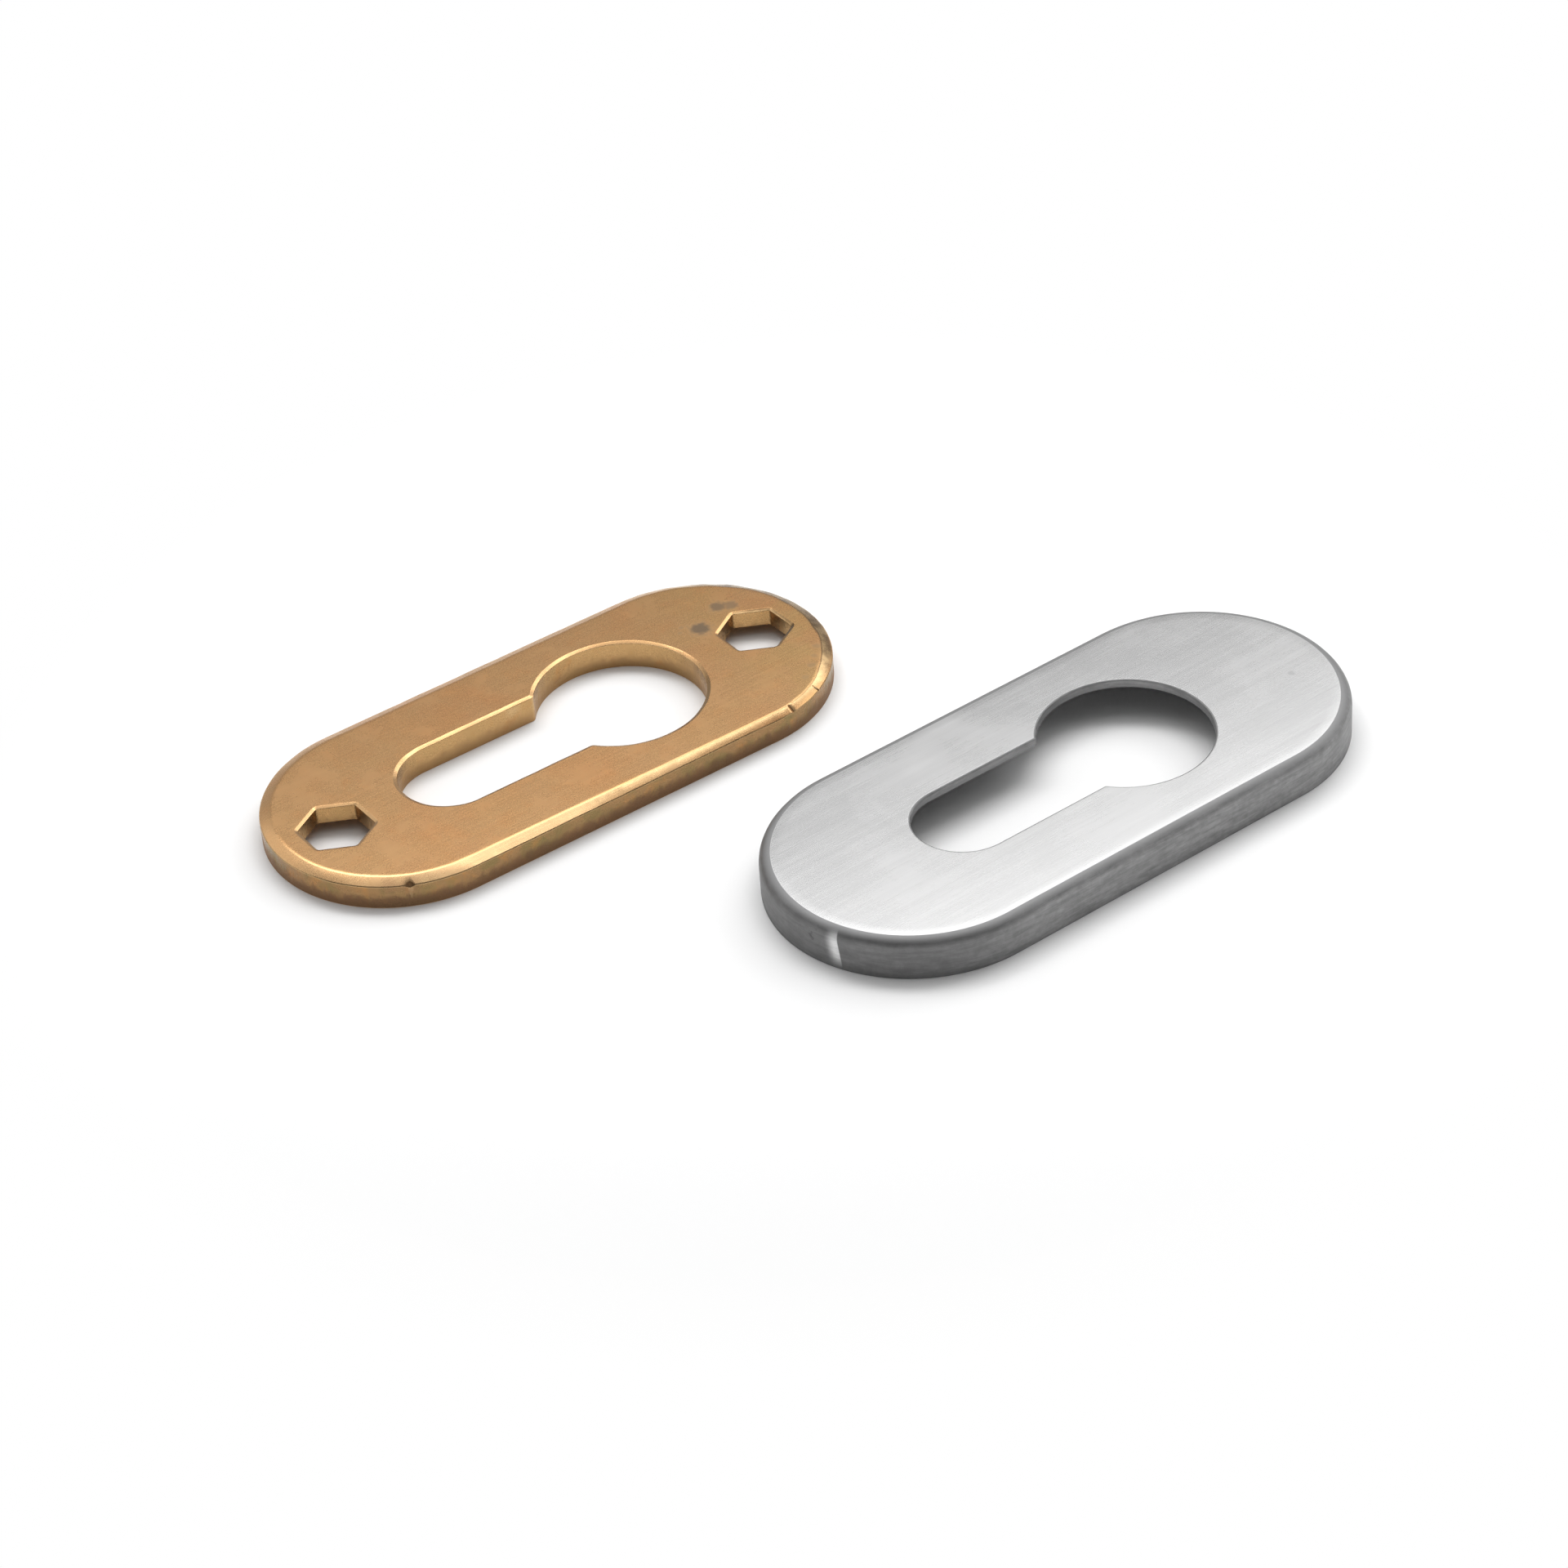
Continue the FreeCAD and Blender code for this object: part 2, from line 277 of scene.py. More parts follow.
# %% [markdown]
# ## The sections
#
# A section is a short list of corners, each with the radius that softens it.  No edge of a real
# pressed or cast piece is perfectly sharp, and it is the small rounding that catches the light.
# An Index Switch gives each point of a line its corner, and Fillet Curve rounds it.


# %% A section from its corners, and the faces between rings
def section(tree, corners):
    """An open curve through (outwards, height, rounding) corners; its ends stay sharp.

    Curve to Mesh turns a section's Y axis downwards here, so each height is written negative.
    """
    line = add(tree, "GeometryNodeMeshLine", {"Count": len(corners)}, mode="OFFSET")
    index = tree.nodes.new("GeometryNodeInputIndex")
    place = add(tree, "GeometryNodeIndexSwitch", {"Index": index}, data_type="VECTOR")
    rounding = add(tree, "GeometryNodeIndexSwitch", {"Index": index}, data_type="FLOAT")
    for switch in (place, rounding):
        while len(switch.index_switch_items) < len(corners):
            switch.index_switch_items.new()
    for number, (outwards, height, radius) in enumerate(corners):
        feed(tree, place.inputs[number + 1], xyz(tree, outwards, minus(tree, height)))
        feed(tree, rounding.inputs[number + 1], radius)
    placed = add(tree, "GeometryNodeSetPosition", {"Geometry": line, "Position": place})
    curve = add(tree, "GeometryNodeMeshToCurve", {"Mesh": placed})
    return add(tree, "GeometryNodeFilletCurve", {
        "Curve": curve, "Count": ROUNDING_POINTS, "Radius": rounding}, mode="POLY")


def swept(tree, path, corners):
    """The wall that a section leaves when it is carried round a path."""
    return add(tree, "GeometryNodeCurveToMesh", {
        "Curve": path, "Profile Curve": section(tree, corners)})


def flat_face(tree, height, *loops):
    """A flat face at one height between rings, each a (loop, outwards) pair."""
    rings = join(tree, [
        add(tree, "GeometryNodeGroup", {"Curve": path, "Outwards": outwards}, node_tree=ring_group)
        for path, outwards in loops])
    filled = add(tree, "GeometryNodeFillCurve", {"Curve": rings}, mode="TRIANGLES")
    return shifted(tree, filled, xyz(tree, z=height))


def loop(tree, head_radius, foot_radius, head_place, foot_place, corner_radius=0.0, cuts=60):
    """A loop with two arcs, as a curve."""
    return add(tree, "GeometryNodeGroup", {
        "Head Radius": head_radius, "Foot Radius": foot_radius, "Head Place": head_place,
        "Foot Place": foot_place, "Corner Radius": corner_radius, "Straight Cuts": cuts,
    }, node_tree=loop_group)


def keyhole_loop(tree, given):
    """The keyhole, which reaches as far from the piece's middle at its foot as at its head."""
    reach = calc(tree, "ADD", given["Keyhole Place"], given["Keyhole Radius"])
    foot_place = calc(tree, "SUBTRACT", given["Slot Half Width"], reach)
    return loop(tree, given["Keyhole Radius"], given["Slot Half Width"], given["Keyhole Place"],
                foot_place, given["Keyhole Corner"], cuts=24)


def one_skin(tree, parts):
    """The parts as one closed skin: their rings share places, so doubles are merged."""
    return add(tree, "GeometryNodeMergeByDistance", {
        "Geometry": join(tree, parts), "Distance": SAME_PLACE})


def end_tree(tree, mesh, given, result):
    """The last steps of each tree: plain geometry, smooth shading and the piece's material."""
    real = add(tree, "GeometryNodeRealizeInstances", {"Geometry": mesh})
    smooth = add(tree, "GeometryNodeSetShadeSmooth", {"Geometry": real})
    feed(tree, result, add(tree, "GeometryNodeSetMaterial", {
        "Geometry": smooth, "Material": given["Material"]}))


# %% [markdown]
# ## The cover's shell
#
# The cover is drawn from sheet steel, so its wall and its face are one thickness and the bend
# between them has two radii, which share a centre.  One section runs from the face over the
# bend, down the wall, under the rim and up again inside.  A second one is the cut edge of the
# punched keyhole.


# %% The cover's tree
def make_cover_tree():
    tree, given, result = new_tree("cover_shell", "GeometryNodeTree", {
        "End Radius": 0.0149, "Reach": 0.018, "Height": 0.0043,
        "Sheet": 0.0009, "Outer Bend": 0.0012, "Inner Bend": 0.0003,
        "Keyhole Radius": 0.00875, "Keyhole Place": 0.0084,
        "Slot Half Width": 0.00515, "Keyhole Corner": 0.0003,
        "Keyhole Edge": 0.0002, "Softness": 0.00008, "Material": "Material",
    }, ("Geometry", "Geometry"))
    height, sheet, soft = given["Height"], given["Sheet"], given["Softness"]
    under, inwards = calc(tree, "SUBTRACT", height, sheet), minus(tree, sheet)
    reach, end = given["Reach"], given["End Radius"]
    outline = loop(tree, end, end, reach, minus(tree, reach))
    keyhole = keyhole_loop(tree, given)

    # The flat faces begin this far inside the outline, and this far from the keyhole.
    land = -2.2 * MM
    beside = times(tree, given["Keyhole Corner"], 0.85)
    wall = swept(tree, outline, [
        (land, height, 0.0), (0.0, height, given["Outer Bend"]), (0.0, 0.0, soft),
        (inwards, 0.0, soft), (inwards, under, given["Inner Bend"]), (land, under, 0.0)])
    edge = swept(tree, keyhole, [
        (beside, height, 0.0), (0.0, height, given["Keyhole Edge"]), (0.0, under, soft),
        (beside, under, 0.0)])
    faces = [flat_face(tree, level, (outline, land), (keyhole, beside)) for level in (height, under)]
    end_tree(tree, one_skin(tree, [wall, edge, *faces]), given, result)
    return tree


cover_tree = make_cover_tree()


# %% [markdown]
# ## The fixing plate
#
# The plate is thick brass with a bevel round its face, a smaller one round the keyhole, and a
# hexagonal hole near each end that opens into a round recess below.  The two holes are one
# hexagon on the two points of a line, so they can't differ.  The plate is rougher work than the
# cover: its bevel wanders a little, more so at the head, gets narrower along the near side, and
# its edge has dents.  A noise and a ramp move the skin's points there, and for each dent a
# rough bar is cut out of the edge.


# %% Loops of the two screw holes
HEXAGON_ROUNDING = 0.45 * MM


def at_both_holes(tree, curve, spacing):
    """A curve repeated at both screw holes."""
    holes = add(tree, "GeometryNodeMeshLine", {
        "Count": 2, "Start Location": xyz(tree, times(tree, spacing, -0.5)),
        "Offset": xyz(tree, spacing)}, mode="OFFSET")
    copies = add(tree, "GeometryNodeInstanceOnPoints", {"Points": holes, "Instance": curve})
    real = add(tree, "GeometryNodeRealizeInstances", {"Geometry": copies})
    return add(tree, "GeometryNodeSetCurveNormal", {"Curve": real}, mode="Z_UP")


def hexagon_loops(tree, given):
    """Both hexagons, each with two sides square to the plate's long axis."""
    corner = calc(tree, "DIVIDE", given["Hole Flats"], 3 ** 0.5)
    ring = add(tree, "GeometryNodeCurvePrimitiveCircle", {"Resolution": 6, "Radius": corner})
    turned = add(tree, "GeometryNodeTransform", {"Geometry": ring, "Rotation": (0.0, 0.0, pi / 6)})
    eased = add(tree, "GeometryNodeFilletCurve", {
        "Curve": turned, "Count": 5, "Radius": HEXAGON_ROUNDING}, mode="POLY")
    return at_both_holes(tree, eased, given["Hole Spacing"])


def recess_loops(tree, given):
    """Both round recesses."""
    ring = add(tree, "GeometryNodeCurvePrimitiveCircle", {
        "Resolution": 96, "Radius": given["Recess Radius"]})
    return at_both_holes(tree, ring, given["Hole Spacing"])


# %% A bevel that wanders
# How long a wave of the bevel is, and how near its lower edge the skin dips.
WAVE = 2.6 * MM
FOOT_BAND = 0.25 * MM
# Along the plate: where the bevel gets rougher, and where it gets narrower.
ROUGHER_ALONG = (14 * MM, 27 * MM)
NARROWER_ALONG = (-22 * MM, 18 * MM)
# Across the plate: where the narrower bevel of the near side begins and is complete.
NARROWER_ACROSS = (-9.3 * MM, -11.5 * MM)
GREY = (0.5, 0.5, 0.5)


def wandering(tree, mesh, given):
    """Shifts the face's edges sideways and the bevel's lower edge down, never outwards."""
    place = tree.nodes.new("GeometryNodeInputPosition")
    along, across, height = (axis(tree, place, name) for name in "XYZ")
    bevel_foot = calc(tree, "SUBTRACT", given["Height"], given["Bevel Drop"])
    noise = add(tree, "ShaderNodeTexNoise", {
        "W": given["Seed"], "Scale": 1 / WAVE, "Detail": 3.0, "Roughness": 0.6}, noise_dimensions="4D")
    swing = calc_vector(tree, "SUBTRACT", noise.outputs["Color"], GREY)
    rougher = times_plus(tree, from_to(tree, along, *ROUGHER_ALONG), 1.3, 1.0)
    amount = times(tree, given["Waviness"], rougher)
    near_face = from_to(tree, height, bevel_foot, given["Height"])
    sideways = calc_vector(tree, "SCALE", swing, times(tree, near_face, amount))
    level = calc_vector(tree, "MULTIPLY", sideways, (1.0, 1.0, 0.0))

    off_foot = calc(tree, "ABSOLUTE", calc(tree, "SUBTRACT", height, bevel_foot))
    near_foot = times(tree, from_to(tree, off_foot, FOOT_BAND, 0.0), amount)
    dip = times(tree, times(tree, noise.outputs["Fac"], near_foot), -0.55)
    narrow = times(tree, from_to(tree, across, *NARROWER_ACROSS),
                   from_to(tree, along, *NARROWER_ALONG))
    slim = times(tree, times(tree, narrow, near_face), given["Taper"])
    drop = xyz(tree, 0.0, minus(tree, slim), dip)
    return shifted(tree, mesh, calc_vector(tree, "ADD", level, drop))


# %% Dents in the plate's edge
# Each dent: the end of the plate that it is on, its angle there in degrees, its depth, how
# steeply it runs down over the edge, and how wide it is for its depth.
DENTS = [
    ("foot", 241.5, 0.34 * MM, 45.0, 3.6), ("head", 279.0, 0.22 * MM, 36.0, 2.1),
    ("head", 287.5, 0.16 * MM, 52.0, 2.1), ("head", 297.0, 0.24 * MM, 40.0, 2.1),
    ("head", 331.0, 0.15 * MM, 45.0, 2.1), ("foot", 214.0, 0.12 * MM, 45.0, 2.5),
]
# How large the lumps in a dent are, and how high they are for its depth.
LUMP = 0.35 * MM
LUMP_HEIGHT = 0.28


def dented(tree, mesh, given):
    """The mesh with a rough groove cut over its edge at each dent, as a hard corner leaves it."""
    cut = add(tree, "GeometryNodeMeshBoolean", {"Mesh 1": mesh}, operation="DIFFERENCE", solver="EXACT")
    level = calc(tree, "SUBTRACT", given["Height"], given["Bevel Drop"])
    lumps = add(tree, "ShaderNodeTexNoise", {"Scale": 1 / LUMP, "Detail": 3.0})
    swing = calc_vector(tree, "SUBTRACT", lumps.outputs["Color"], GREY)
    for end, angle, depth, steepness, width in DENTS:
        side = 1.0 if end == "head" else -1.0
        angle, slope = radians(angle), radians(steepness)
        x = calc(tree, "ADD", times(tree, given["End Radius"], cos(angle)),
                 times(tree, given["Reach"], side))
        y = times(tree, given["End Radius"], sin(angle))
        above = 2.0 * depth / cos(slope)
        z = calc(tree, "ADD", level, above - depth)
        thick = 2.0 * 2 ** 0.5 * depth
        bar = add(tree, "GeometryNodeMeshCube", {
            "Size": (12 * depth, thick, thick), "Vertices X": 24, "Vertices Y": 9, "Vertices Z": 9})
        on_edge = add(tree, "GeometryNodeTransform", {"Geometry": bar, "Rotation": (pi / 4, 0.0, 0.0)})
        placed = add(tree, "GeometryNodeTransform", {
            "Geometry": on_edge, "Translation": xyz(tree, x, y, z),
            "Rotation": (0.0, slope, angle), "Scale": (1.0, width, 1.0)})
        rough = shifted(tree, placed, calc_vector(tree, "SCALE", swing, depth * LUMP_HEIGHT))
        feed(tree, cut.inputs["Mesh 2"], rough)
    return cut


# %% The plate's tree
# The flat strips beside the walls are built from this step, and the bevels of the keyhole and
# the screw holes go down this far for their width.
STEP = 0.25 * MM
DROP_FOR_WIDTH = -0.45


def make_plate_tree():
    tree, given, result = new_tree("fixing_plate", "GeometryNodeTree", {
        "End Radius": 0.0138, "Reach": 0.0178, "Height": 0.003,
        "Bevel Width": 1.2 * MM, "Bevel Drop": 0.4 * MM, "Taper": 0.40 * MM,
        "Keyhole Radius": 0.00875, "Keyhole Place": 0.0084,
        "Slot Half Width": 5.3 * MM, "Keyhole Corner": 0.55 * MM,
        "Keyhole Bevel": 0.38 * MM, "Hole Spacing": 0.05,
        "Hole Flats": 6.6 * MM, "Hole Bevel": 0.32 * MM,
        "Recess Radius": 0.0052, "Recess Depth": 1.1 * MM,
        "Softness": 0.07 * MM, "Waviness": 0.22 * MM, "Seed": 3.0, "Material": "Material",
    }, ("Geometry", "Geometry"))
    height, soft, depth = given["Height"], given["Softness"], given["Recess Depth"]
    reach, end = given["Reach"], given["End Radius"]
    outline = loop(tree, end, end, reach, minus(tree, reach))
    keyhole = keyhole_loop(tree, given)
    hexagons, recesses = hexagon_loops(tree, given), recess_loops(tree, given)

    face_edge = minus(tree, given["Bevel Width"])
    face_ring = calc(tree, "SUBTRACT", face_edge, 4 * STEP)
    bevel_foot = calc(tree, "SUBTRACT", height, given["Bevel Drop"])
    wall = swept(tree, outline, [
        (face_ring, height, 0.0), (calc(tree, "SUBTRACT", face_edge, 1.6 * STEP), height, 0.0),
        (face_edge, height, 1.2 * MM), (0.0, bevel_foot, 0.16 * MM),
        (0.0, calc(tree, "SUBTRACT", bevel_foot, STEP), 0.0), (0.0, STEP, 0.0),
        (0.0, 0.0, soft), (-2 * STEP, 0.0, 0.0)])

    mouth = given["Keyhole Bevel"]
    keyhole_ring = calc(tree, "ADD", mouth, 0.3 * STEP)
    keyhole_wall = swept(tree, keyhole, [
        (keyhole_ring, height, 0.0), (mouth, height, soft),
        (0.0, times_plus(tree, mouth, DROP_FOR_WIDTH, height), soft), (0.0, STEP, 0.0),
        (0.0, 0.0, soft), (STEP, 0.0, 0.0)])

    mouth = given["Hole Bevel"]
    hole_ring = calc(tree, "ADD", mouth, STEP)
    hole_wall = swept(tree, hexagons, [
        (hole_ring, height, 0.0), (mouth, height, soft),
        (0.0, times_plus(tree, mouth, DROP_FOR_WIDTH, height), soft), (0.0, depth, soft),
        (STEP, depth, 0.0)])
    recess_wall = swept(tree, recesses, [
        (-STEP, depth, 0.0), (0.0, depth, soft), (0.0, 0.0, soft), (STEP, 0.0, 0.0)])

    skin = one_skin(tree, [
        wall, keyhole_wall, hole_wall, recess_wall,
        flat_face(tree, height, (outline, face_ring), (keyhole, keyhole_ring), (hexagons, hole_ring)),
        flat_face(tree, depth, (recesses, -STEP), (hexagons, STEP)),
        flat_face(tree, 0.0, (outline, -2 * STEP), (keyhole, STEP), (recesses, STEP))])
    end_tree(tree, dented(tree, wandering(tree, skin, given), given), given, result)
    return tree


plate_tree = make_plate_tree()


# %% [markdown]
# ## From trees to plain meshes
#
# The tree runs as a modifier on an empty carrier, and its result becomes a plain mesh that is
# laid in place.  Its faces are then turned outwards.  Each point also gets a number for how
# sharply the skin turns outwards there, which the brass uses for wear along the edges, partly a
# painted highlight.  Weighted normals let the large flat faces decide how the small roundings
# beside them shade.


# %% Turn a tree into a plain mesh
# A convex edge counts as worn, partly a painted highlight, from the first angle on, and fully after the
# range beyond it.
# From the last angle on, an edge is shaded sharp.
SMALLEST_TURN, RANGE_OF_TURNS = 0.04, 0.16
SHARP_ANGLE = radians(38)


def plain_mesh(piece):
    """The piece's mesh with its modifiers applied."""
    depsgraph = bpy.context.evaluated_depsgraph_get()
    return bpy.data.meshes.new_from_object(
        piece.evaluated_get(depsgraph), preserve_all_data_layers=True, depsgraph=depsgraph)


def run_tree(name, tree, sizes):
    """Runs a tree with these sizes, each named as its input, and returns the mesh it makes."""
    carrier = new_object(name + "_carrier", bpy.data.meshes.new(name + "_carrier"))
    nodes = carrier.modifiers.new(name, "NODES")
    nodes.node_group = tree
    for item in tree.interface.items_tree:
        if item.in_out == "INPUT" and item.name in sizes:
            nodes[item.identifier] = sizes[item.name]
    mesh = plain_mesh(carrier)
    bpy.data.objects.remove(carrier)
    mesh.name = name
    return mesh


def turn_outwards(mesh):
    """Points the faces of a closed mesh outwards and marks its convex edges."""
    skin = bmesh.new()
    skin.from_mesh(mesh)
    bmesh.ops.recalc_face_normals(skin, faces=skin.faces)
    if skin.calc_volume(signed=True) < 0:
        bmesh.ops.reverse_faces(skin, faces=skin.faces)
    edge = skin.verts.layers.float.new("edge")
    for point in skin.verts:
        sharpest = max(side.calc_face_angle_signed(0.0) for side in point.link_edges)
        point[edge] = min(max((sharpest - SMALLEST_TURN) / RANGE_OF_TURNS, 0.0), 1.0)
    open_edges = sum(not side.is_manifold for side in skin.edges)
    print(f"{mesh.name}: {len(skin.faces)} faces, {open_edges} open edges,",
          f"{skin.calc_volume() / MM ** 3:.0f} mm3")
    skin.to_mesh(mesh)
    skin.free()


def grow(name, tree, place, turn, **sizes):
    """Makes a piece from its tree and lays it in place, with its object at the origin."""
    sizes = {label.replace("_", " ").title(): size for label, size in sizes.items()}
    mesh = run_tree(name, tree, sizes)
    mesh.transform(Matrix.Translation((place.x, place.y, 0.0)) @ Matrix.Rotation(turn, 4, "Z"))
    turn_outwards(mesh)
    mesh.set_sharp_from_angle(angle=SHARP_ANGLE)
    piece = new_object(name, mesh)
    weighted = piece.modifiers.new("weighted", "WEIGHTED_NORMAL")
    weighted.keep_sharp = True
    piece.data = plain_mesh(piece)
    piece.modifiers.clear()
    return piece


# %% [markdown]
# ## Effects that the two metals share
#
# Brass and steel differ in colour, but both show streaks from rolling or brushing, soft
# blotches and a few marks at known places, and the brass is bright along its edges: wear, partly
# a painted highlight.  Each effect is a shader group that gives a mask or a height, and each metal
# places it with values of its own.  All of them take a place on the piece in millimetres.


# %% Streaks and blotches
def make_streaks_group():
    """Parallel streaks, long along the first axis and narrow across it."""
    tree, given, result = new_tree("streaks", "ShaderNodeTree", {
        "Place": "Vector", "Stretch": (0.05, 5.0, 5.0), "Detail": 3.0}, ("Value", "Float"))
    squeezed = calc_vector(tree, "MULTIPLY", given["Place"], given["Stretch"])
    feed(tree, result, add(tree, "ShaderNodeTexNoise", {
        "Vector": squeezed, "Scale": 1.0, "Detail": given["Detail"], "Roughness": 0.62}))
    return tree


def make_blotches_group():
    """Soft patches: 0 where the noise is under Low and 1 where it is over High."""
    tree, given, result = new_tree("blotches", "ShaderNodeTree", {
        "Place": "Vector", "Size": 4.0, "Low": 0.4, "High": 0.7, "Seed": 0.0}, ("Mask", "Float"))
    noise = add(tree, "ShaderNodeTexNoise", {
        "Vector": given["Place"], "W": given["Seed"],
        "Scale": calc(tree, "DIVIDE", 1.0, given["Size"]),
        "Detail": 5.0, "Roughness": 0.58, "Distortion": 0.3}, noise_dimensions="4D")
    feed(tree, result, from_to(tree, noise, given["Low"], given["High"]))
    return tree


streaks_group, blotches_group = make_streaks_group(), make_blotches_group()


# %% Marks at known places, and wear along edges, partly a painted highlight
def make_mark_group():
    """A ragged spot round one place, 1 in its middle and 0 outside."""
    tree, given, result = new_tree("mark", "ShaderNodeTree", {
        "Place": "Vector", "Middle": (0.0, 0.0, 0.0), "Radius": 1.0, "Raggedness": 0.5,
    }, ("Mask", "Float"))
    away = calc_vector(tree, "SUBTRACT", given["Place"], given["Middle"])
    distance = calc(tree, "DIVIDE", calc_vector(tree, "LENGTH", away), given["Radius"])
    noise = add(tree, "ShaderNodeTexNoise", {"Vector": given["Place"], "Scale": 1.7, "Detail": 4.0})
    ragged = times_plus(tree, calc(tree, "SUBTRACT", noise, 0.5),
                        times(tree, given["Raggedness"], 2.0), distance)
    feed(tree, result, from_to(tree, ragged, 1.15, 0.35))
    return tree


def make_wear_and_highlight_group():
    """Bright wear, partly a painted highlight, where the skin turns outwards, broken up by a fine
    noise.
    """
    tree, given, result = new_tree("edge_wear_and_highlight", "ShaderNodeTree", {
        "Place": "Vector", "Edge": 0.0, "Amount": 0.6}, ("Mask", "Float"))
    noise = add(tree, "ShaderNodeTexNoise", {"Vector": given["Place"], "Scale": 1.4, "Detail": 5.0})
    broken = times(tree, given["Edge"], calc(tree, "ADD", noise, 0.35))
    feed(tree, result, times(tree, from_to(tree, broken, 0.25, 0.8), given["Amount"]))
    return tree


def make_inside_group():
    """1 inside the holes, and 0 within a band of this width along the piece's outline."""
    tree, given, result = new_tree("inside", "ShaderNodeTree", {
        "Place": "Vector", "Reach": 18.0, "End": 14.0, "Band": 1.0}, ("Mask", "Float"))
    along, across = (axis(tree, given["Place"], name) for name in "XY")
    beyond = calc(tree, "SUBTRACT", calc(tree, "ABSOLUTE", along), given["Reach"])
    off_axis = calc_vector(tree, "LENGTH", xyz(tree, calc(tree, "MAXIMUM", beyond, 0.0), across))
    depth = calc(tree, "SUBTRACT", given["End"], off_axis)
    feed(tree, result, add(tree, "ShaderNodeMapRange", {
        "Value": calc(tree, "DIVIDE", depth, given["Band"]), "From Min": 0.8, "From Max": 1.0}))
    return tree


mark_group, wear_and_highlight_group, inside_group = make_mark_group(), make_wear_and_highlight_group(), make_inside_group()


# %% Helpers for materials
def new_metal(name, middle, turn):
    """A metal, and the place on its piece in millimetres."""
    material = bpy.data.materials.new(name)
    material.use_nodes = True
    tree = material.node_tree
    shader = tree.nodes["Principled BSDF"]
    shader.inputs["Metallic"].default_value = 1.0
    coordinates = tree.nodes.new("ShaderNodeTexCoord")
    place = add(tree, "ShaderNodeMapping", {
        "Vector": coordinates.outputs["Object"], "Location": (middle.x, middle.y, 0.0),
        "Rotation": (0.0, 0.0, turn), "Scale": (MM, MM, MM)}, vector_type="TEXTURE")
    return material, tree, shader, place


def use(tree, group, place, **values):
    """A shared effect at this place, with values of its own."""
    inputs = {label.title(): value for label, value in values.items()}
    return add(tree, "ShaderNodeGroup", {"Place": place, **inputs}, node_tree=group)


def blend(tree, mask, first, second):
    """A colour between two, each a socket or an (r, g, b)."""
    mix = add(tree, "ShaderNodeMix", data_type="RGBA", clamp_factor=True)
    colours = [socket for socket in mix.inputs if socket.type == "RGBA"]
    feed(tree, mix.inputs[0], mask)
    for socket, colour in zip(colours, (first, second)):
        feed(tree, socket, (*colour, 1.0) if isinstance(colour, tuple) else colour)
    return next(socket for socket in mix.outputs if socket.type == "RGBA")


def tinted(tree, colour, *layers):
    """The colour under thin layers, each with its mask, how strong it is there, and its tint."""
    for mask, strength, tint in layers:
        colour = blend(tree, times(tree, mask, strength), colour, tint)
    return colour


def set_roughness(tree, shader, rough, *layers):
    """Sets the roughness: a first value, and more of it by (mask, how much)."""
    for mask, more in layers:
        rough = times_plus(tree, mask, more, rough)
    feed(tree, shader.inputs["Roughness"], rough)


def normal_height(tree):
    """The height of the skin's normal: 1 where the skin is level and faces up, 0 on a wall."""
    return axis(tree, tree.nodes.new("ShaderNodeNewGeometry").outputs["Normal"], "Z")


def upright(tree, leaning, level):
    """1 where the skin is level, on either side, and 0 where it leans more than a little."""
    return from_to(tree, calc(tree, "ABSOLUTE", normal_height(tree)), leaning, level)


def sloping(tree):
    """1 on a bevel, where the skin leans a little, and 0 on the face and the walls."""
    height = normal_height(tree)
    return times(tree, from_to(tree, height, 0.990, 0.965), from_to(tree, height, 0.80, 0.90))


def bumps(tree, shader, *layers):
    """Stacks (height, distance in metres, strength) layers of bump on the shader's normal."""
    normal = None
    for height, distance, strength in layers:
        bump = add(tree, "ShaderNodeBump", {
            "Height": height, "Distance": distance, "Strength": strength})
        if normal:
            feed(tree, bump.inputs["Normal"], normal)
        normal = bump
    feed(tree, shader.inputs["Normal"], normal)


# %% [markdown]
# ## Dull brass
#
# The plate is plain brass that nobody sees once it is fitted: rolled, not polished, and already
# a little brown.  Its face has faint streaks, soft warmer patches, and a few dark stains beside
# the head's screw hole.  Its edges are worn bright, partly a painted highlight, and its bevel is
# painted darker, most on the near side and towards the head: painted shade that tones down its
# highlight.  The walls are as the press left them: the punch rubs the upper part smooth and tears
# the rest, so the lower part is rough and darker, with olive and orange patches, and the whole
# wall is painted darker than the face: painted shade.  Inside the holes the walls are smoother and
# lighter, the nick at the foot holds painted shade, and beside it the edge is darker.

# %% Values of the brass
BRASS = (0.590, 0.340, 0.157)
BRASS_WARM = (0.615, 0.318, 0.138)
BRASS_BROWN = (0.465, 0.264, 0.122)
BRASS_YELLOW = (0.570, 0.362, 0.150)
BRASS_ORANGE = (0.630, 0.310, 0.122)
# The bevel's colours are painted shade, darker towards the head, that tone down its highlight.
BRASS_BEVEL_SHADE = (0.340, 0.228, 0.120)
BRASS_BEVEL_HEAD_SHADE = (0.258, 0.165, 0.081)
BRASS_BEVEL_END_SHADE = (0.120, 0.076, 0.038)
BRASS_WORN_AND_HIGHLIT = (0.62, 0.43, 0.22)
# The wall's colours are painted darker than the face: painted shade, with olive and orange patches.
SHADED_CUT_BROWN = (0.345, 0.205, 0.094)
SHADED_CUT_OLIVE = (0.260, 0.185, 0.078)
CUT_INSIDE = (0.560, 0.345, 0.150)
CUT_ORANGE = (0.50, 0.240, 0.080)
# The torn part of the wall; the same colour also paints the shade in the nick.
TORN_AND_SHADE = (0.255, 0.142, 0.080)
STAIN = (0.155, 0.110, 0.070)
